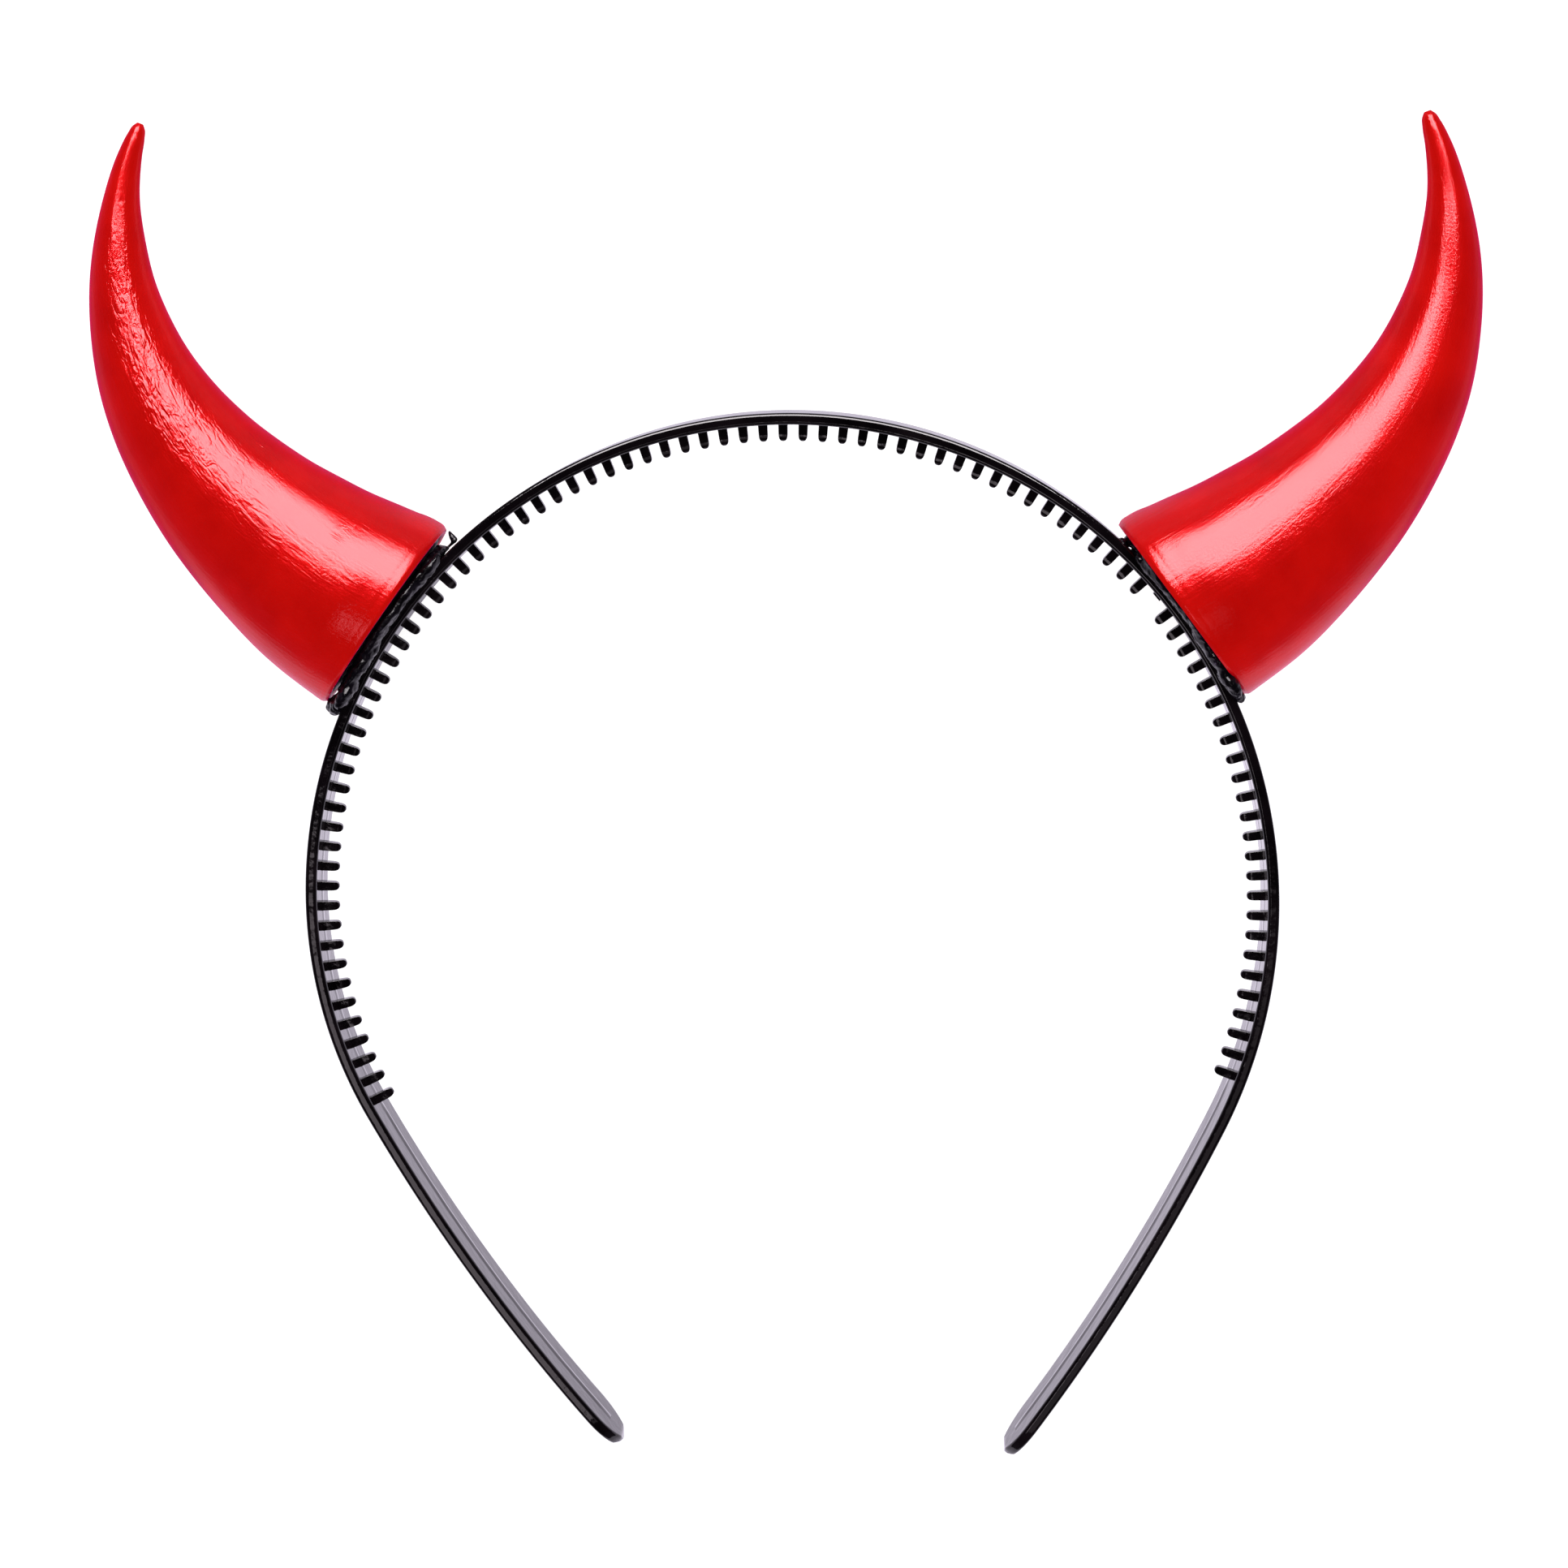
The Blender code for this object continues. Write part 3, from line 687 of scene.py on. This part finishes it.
def make_horn(side, place, material):
    _, radius, _, lean, girth = HORN_SEATS[side]
    mirror = -1.0 if side == "left" else 1.0
    _, total = smooth_rows(HORN_ROWS, np.array([0.0]))
    places = horn_stations(total)
    rows, _ = smooth_rows(HORN_ROWS, places)
    run = np.gradient(rows[:, :2], places, axis=0)
    slants = np.arctan2(run[:, 1], run[:, 0]) * np.clip(rows[:, 0] / STRAIGHT_MOUTH, 0.0, 1.0)
    bm = bmesh.new()
    flow = bm.verts.layers.float_vector.new("flow")
    crinkle = bm.verts.layers.float.new("crinkle")
    outer = []
    for (along, across, half_width, half_depth), slant, reach in zip(rows, slants, places):
        bent = math.radians(lean) * min(1.0, along / LEAN_REACH)
        x = along * math.cos(bent) - across * math.sin(bent)
        y = along * math.sin(bent) + across * math.cos(bent)
        scale = 1.0 + girth * reach / HORN_LENGTH
        tip = slant + bent
        ring = []
        for i in range(HORN_SIDES):
            # the ring starts and ends at the back, where the coat's pattern has its seam
            turn = 2 * math.pi * i / HORN_SIDES - math.pi / 2
            size = (half_width * scale, half_depth * scale)
            around = (turn - math.pi / 2) * (size[0] + size[1]) / 2
            lift = horn_relief(side, reach, turn, around)
            lift *= min(1.0, reach / RELIEF_FADE, (total - reach) / RELIEF_FADE)
            lift += rim_lift(reach, turn)
            wide = (size[0] + lift) * math.cos(turn)
            deep = (size[1] + lift) * math.sin(turn)
            vertex = bm.verts.new(at(x - wide * math.sin(tip), mirror * (y + wide * math.cos(tip)), deep))
            vertex[flow] = (reach, around, FLOW_LAYER[side])
            vertex[crinkle] = crinkled(side, reach, turn)
            ring.append(vertex)
        outer.append(ring)
    inner = []
    for depth, wall in LIP_ROWS:
        ring = []
        for i in range(HORN_SIDES):
            turn = 2 * math.pi * i / HORN_SIDES - math.pi / 2
            wide = (HORN_ROWS[0][2] + rim_lift(0.0, turn) - wall) * math.cos(turn)
            deep = (HORN_ROWS[0][3] + rim_lift(0.0, turn) - wall) * math.sin(turn)
            vertex = bm.verts.new(at(depth, mirror * wide, deep))
            vertex[flow] = (-depth, turn * LIP_GIRTH, 0.0)
            ring.append(vertex)
        inner.append(ring)
    rings = inner[::-1] + outer
    for near, far in zip(rings, rings[1:]):
        for i in range(HORN_SIDES):
            j = (i + 1) % HORN_SIDES
            bm.faces.new((near[i], near[j], far[j], far[i]))
    bm.faces.new(rings[0])
    bm.faces.new(rings[-1])
    return finish_piece("horn_shell_" + side, bm, place @ seat_matrix(side, radius), material,
                        "red_plastic", "horn_" + side)


def make_glue(side, place, material):
    """Glue: the solid's body with drops and smears melted into it."""
    seat = place @ seat_matrix(side, GLUE_TOP)
    bm = bmesh.new()
    bm.from_mesh(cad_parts["glue_" + side].data)
    mirror = -1.0 if side == "left" else 1.0
    for own, out, across, forward, size_out, size_across, size_forward in GLUE_BLOBS:
        if own in (side, "both"):
            spot = seat @ Matrix.Translation(at(out - GLUE_TOP, mirror * across, forward))
            size = Matrix.Diagonal((size_out * MM, size_across * MM, size_forward * MM, 1.0))
            bmesh.ops.create_uvsphere(bm, u_segments=20, v_segments=12, radius=1.0, matrix=spot @ size)
    mesh = bpy.data.meshes.new("glue")
    bm.to_mesh(mesh)
    bm.free()
    rough = add_object("glue", mesh)
    melt = rough.modifiers.new("melt", "REMESH")
    melt.mode = "VOXEL"
    melt.voxel_size = GLUE_VOXEL * MM
    ease = rough.modifiers.new("ease", "SMOOTH")
    ease.factor = GLUE_EASE
    ease.iterations = GLUE_EASE_ROUNDS
    graph = bpy.context.evaluated_depsgraph_get()
    bm = bmesh.new()
    bm.from_mesh(rough.evaluated_get(graph).to_mesh())
    bpy.data.objects.remove(rough, do_unlink=True)
    bm.normal_update()
    for vertex in bm.verts:
        spot = vertex.co / MM
        lump = sum(noise.noise(spot * scale) * height for scale, height in GLUE_LUMPS)
        vertex.co += vertex.normal * (lump * MM)
    return finish_piece("hot_glue_" + side, bm, Matrix.Identity(4), material, "hot_glue", "glue_" + side)


def make_camera(place):
    data = bpy.data.cameras.new("camera")
    data.lens = CAMERA_LENS
    data.sensor_width = CAMERA_SENSOR
    data.clip_start = 0.01
    camera = add_object("camera", data)
    turn = Euler([math.radians(angle) for angle in CAMERA_TURN]).to_matrix().to_4x4()
    camera.matrix_world = place @ Matrix.Translation(at(*CAMERA_PLACE)) @ turn
    bpy.context.scene.camera = camera


def add_light(name, place, size, radiance, colour, on_matt, on_gloss):
    """A rectangle of light that faces the object."""
    data = bpy.data.lights.new(name, "AREA")
    data.shape = "RECTANGLE"
    data.size, data.size_y = size
    data.energy = radiance * math.pi * size[0] * size[1]
    data.color = colour
    light = add_object(name, data)
    light.location = place
    light.rotation_euler = (-Vector(place)).to_track_quat("-Z", "Y").to_euler()
    light.visible_diffuse = on_matt
    light.visible_glossy = on_gloss
    light.visible_camera = False


def make_floor():
    """A plain pale floor that runs up into the same pale ground far off."""
    bm = bmesh.new()
    bmesh.ops.create_grid(bm, x_segments=1, y_segments=1, size=FLOOR_SIZE / 2)
    mesh = bpy.data.meshes.new("floor")
    bm.to_mesh(mesh)
    bm.free()
    shader = Shader("floor")
    shader.set(Roughness=0.9, Specular_IOR_Level=0.0, Base_Color=(*FLOOR_PALE, 1.0))
    shader.set(Emission_Color=(1.0, 1.0, 1.0, 1.0), Emission_Strength=FLOOR_GLOW)
    # gloss sees a floor that is lit along the middle and darkens to both sides
    split = shader.node("ShaderNodeSeparateXYZ")
    shader.link(shader.node("ShaderNodeTexCoord").outputs["Object"], split.inputs["Vector"])
    aside = shader.math("ABSOLUTE", split.outputs["X"])
    lit = shader.ramp(aside, *FLOOR_SHINE_BANDS)
    shade = shader.ramp(aside, *SHADE_BANDS)
    toward = shader.math("MULTIPLY", shader.ease(split.outputs["Y"], *SHADE_FROM), shade)
    toward = shader.math("MULTIPLY", shader.ease(split.outputs["Y"], *reversed(SHADE_TO)), toward)
    open_part = shader.math("SUBTRACT", 1.0, shader.math("MULTIPLY", toward, SHADE_DEPTH))
    fade = shader.ramp(shader.ease(split.outputs["Y"], SHINE_FROM, SHINE_TO), *SHINE_FADE)
    strength = shader.math("MULTIPLY", shader.math("MULTIPLY", lit, fade), open_part)
    shine = shader.node("ShaderNodeEmission")
    shine.inputs["Color"].default_value = (*FLOOR_SHINE, 1.0)
    shader.link(strength, shine.inputs["Strength"])
    path = shader.node("ShaderNodeLightPath")
    mix = shader.node("ShaderNodeMixShader")
    shader.link(path.outputs["Is Glossy Ray"], mix.inputs["Fac"])
    shader.link(shader.main.outputs["BSDF"], mix.inputs[1])
    shader.link(shine.outputs["Emission"], mix.inputs[2])
    shader.link(mix.outputs["Shader"], shader.tree.nodes["Material Output"].inputs["Surface"])
    mesh.materials.append(shader.material)
    floor = add_object("floor", mesh)
    floor.location.z = -FLOOR_GAP * MM


def make_world():
    """Soft light from all round, with a dark room overhead for the gloss to show."""
    world = bpy.data.worlds.new("studio")
    bpy.context.scene.world = world
    world.use_nodes = True
    tree = world.node_tree
    tree.nodes.clear()
    output = tree.nodes.new("ShaderNodeOutputWorld")
    mix = tree.nodes.new("ShaderNodeMixShader")
    soft = tree.nodes.new("ShaderNodeBackground")
    soft.inputs["Color"].default_value = (*WORLD_SOFT, 1.0)
    room = tree.nodes.new("ShaderNodeBackground")
    path = tree.nodes.new("ShaderNodeLightPath")
    coordinates = tree.nodes.new("ShaderNodeTexCoord")
    split = tree.nodes.new("ShaderNodeSeparateXYZ")
    ramp = tree.nodes.new("ShaderNodeValToRGB")
    set_stops(ramp, ROOM_BANDS)
    links = tree.links
    links.new(coordinates.outputs["Generated"], split.inputs["Vector"])
    links.new(split.outputs["Z"], ramp.inputs["Fac"])
    links.new(ramp.outputs["Color"], room.inputs["Color"])
    links.new(path.outputs["Is Glossy Ray"], mix.inputs["Fac"])
    links.new(soft.outputs["Background"], mix.inputs[1])
    links.new(room.outputs["Background"], mix.inputs[2])
    links.new(mix.outputs["Shader"], output.inputs["Surface"])


def main():
    place = hoop_pose()
    make_camera(place)
    make_floor()
    make_world()
    for row in LIGHTS:
        add_light(*row)
    scene = bpy.context.scene
    scene.view_settings.view_transform = "Standard"
    scene.view_settings.look = "None"
    make_headband(place, black_plastic())
    red = red_plastic()
    plug = dark_plug()
    glue = hot_glue()
    for side in HORN_SEATS:
        make_horn(side, place, red)
        make_glue(side, place, glue)
        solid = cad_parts["base_plug_" + side]
        solid.data.materials.clear()
        solid.data.materials.append(plug)


main()
